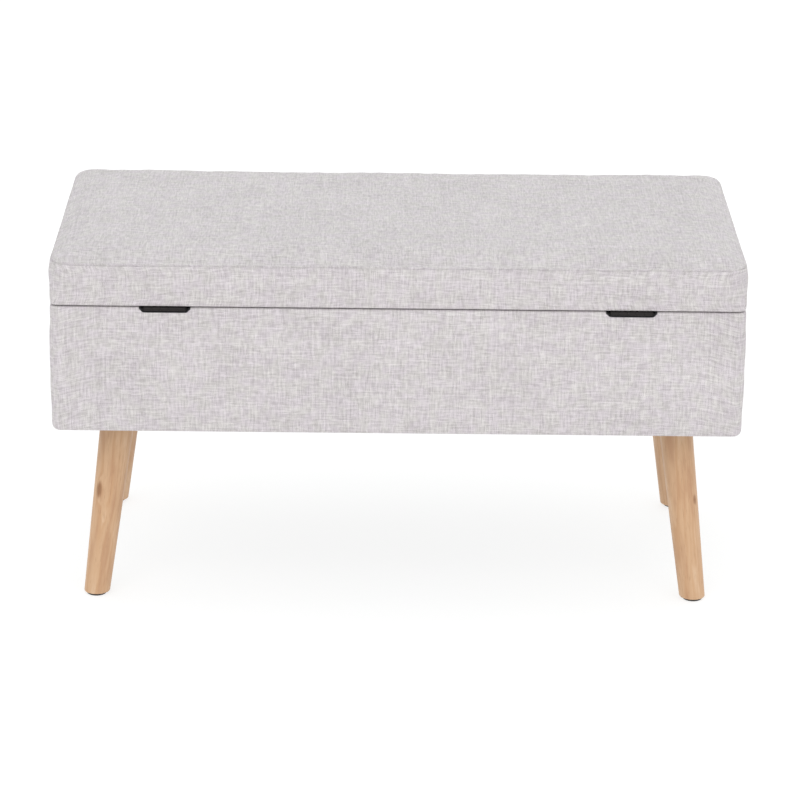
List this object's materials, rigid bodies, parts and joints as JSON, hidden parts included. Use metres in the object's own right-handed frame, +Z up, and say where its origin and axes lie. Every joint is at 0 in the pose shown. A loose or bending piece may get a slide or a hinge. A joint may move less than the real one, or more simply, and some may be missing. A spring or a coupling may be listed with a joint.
{
  "type": "storage ottoman",
  "caption": "Rectangular upholstered storage bench with a hinged padded lid, lined storage space and splayed round wooden legs.",
  "frame": {"origin": "the floor under the middle of the bench", "axes": "+X along the bench's length, +Y towards the side that opens (the hinges are on the -Y side), +Z up"},
  "size_m": [0.8, 0.4, 0.43],
  "materials": {
    "linen_cloth": "matte",
    "black_cloth": "matte",
    "foam": "matte",
    "plywood": "matte",
    "corner_wood": "matte",
    "leg_wood": "satin",
    "black_steel": "satin",
    "zinc_steel": "satin",
    "stay_steel": "satin",
    "glide_plastic": "matte"
  },
  "bodies": {
    "case": {"bottom_panel": "plywood", "case_cover": "linen_cloth", "case_foam_front": "foam", "case_foam_left": "foam", "case_foam_rear": "foam", "case_foam_right": "foam", "case_lining": "black_cloth", "corner_block_front_left": "corner_wood", "corner_block_front_right": "corner_wood", "corner_block_rear_left": "corner_wood", "corner_block_rear_right": "corner_wood", "dust_cover": "black_cloth", "front_panel": "plywood", "hinge_case_leaf_left": "black_steel", "hinge_case_leaf_right": "black_steel", "hinge_case_screw_left_inner": "black_steel", "hinge_case_screw_left_outer": "black_steel", "hinge_case_screw_right_inner": "black_steel", "hinge_case_screw_right_outer": "black_steel", "hinge_pin_left": "black_steel", "hinge_pin_right": "black_steel", "left_end_panel": "plywood", "leg_bolt_front_left": "zinc_steel", "leg_bolt_front_right": "zinc_steel", "leg_bolt_rear_left": "zinc_steel", "leg_bolt_rear_right": "zinc_steel", "leg_front_left": "leg_wood", "leg_front_right": "leg_wood", "leg_glide_front_left": "glide_plastic", "leg_glide_front_right": "glide_plastic", "leg_glide_rear_left": "glide_plastic", "leg_glide_rear_right": "glide_plastic", "leg_plate_front_left": "zinc_steel", "leg_plate_front_right": "zinc_steel", "leg_plate_rear_left": "zinc_steel", "leg_plate_rear_right": "zinc_steel", "leg_rear_left": "leg_wood", "leg_rear_right": "leg_wood", "rear_panel": "plywood", "right_end_panel": "plywood", "stay_case_bracket_left": "stay_steel", "stay_case_bracket_right": "stay_steel"},
    "lid": {"hinge_lid_leaf_left": "black_steel", "hinge_lid_leaf_right": "black_steel", "hinge_lid_screw_left_inner": "black_steel", "hinge_lid_screw_left_outer": "black_steel", "hinge_lid_screw_right_inner": "black_steel", "hinge_lid_screw_right_outer": "black_steel", "lid_board": "plywood", "lid_cover": "linen_cloth", "lid_foam": "foam", "lid_lining": "black_cloth", "stay_lid_bracket_left": "stay_steel", "stay_lid_bracket_right": "stay_steel"},
    "left_lower_arm": {"stay_lower_arm_left": "stay_steel"},
    "left_upper_arm": {"stay_upper_arm_left": "stay_steel"},
    "right_lower_arm": {"stay_lower_arm_right": "stay_steel"},
    "right_upper_arm": {"stay_upper_arm_right": "stay_steel"}
  },
  "joints": [
    {"name": "lid_hinge", "type": "hinge", "parent": "case", "child": "lid", "pos_m": [0, -0.197, 0.3679], "axis": [1, 0, 0], "range_deg": [0, 100]},
    {"name": "left_lower_arm_pivot", "type": "hinge", "parent": "case", "child": "left_lower_arm", "pos_m": [-0.373, -0.127, 0.3013], "axis": [1, 0, 0], "range_deg": [0, 100]},
    {"name": "left_upper_arm_pivot", "type": "hinge", "parent": "lid", "child": "left_upper_arm", "pos_m": [-0.3707, -0.027, 0.3567], "axis": [1, 0, 0], "range_deg": [-100, 0]},
    {"name": "right_lower_arm_pivot", "type": "hinge", "parent": "case", "child": "right_lower_arm", "pos_m": [0.373, -0.127, 0.3013], "axis": [1, 0, 0], "range_deg": [0, 100]},
    {"name": "right_upper_arm_pivot", "type": "hinge", "parent": "lid", "child": "right_upper_arm", "pos_m": [0.3707, -0.027, 0.3567], "axis": [1, 0, 0], "range_deg": [-100, 0]}
  ],
  "couplings": [
    {"joint": "left_lower_arm_pivot", "follows": "lid_hinge", "ratio": 1},
    {"joint": "left_upper_arm_pivot", "follows": "lid_hinge", "ratio": -1},
    {"joint": "right_lower_arm_pivot", "follows": "lid_hinge", "ratio": 1},
    {"joint": "right_upper_arm_pivot", "follows": "lid_hinge", "ratio": -1}
  ]
}
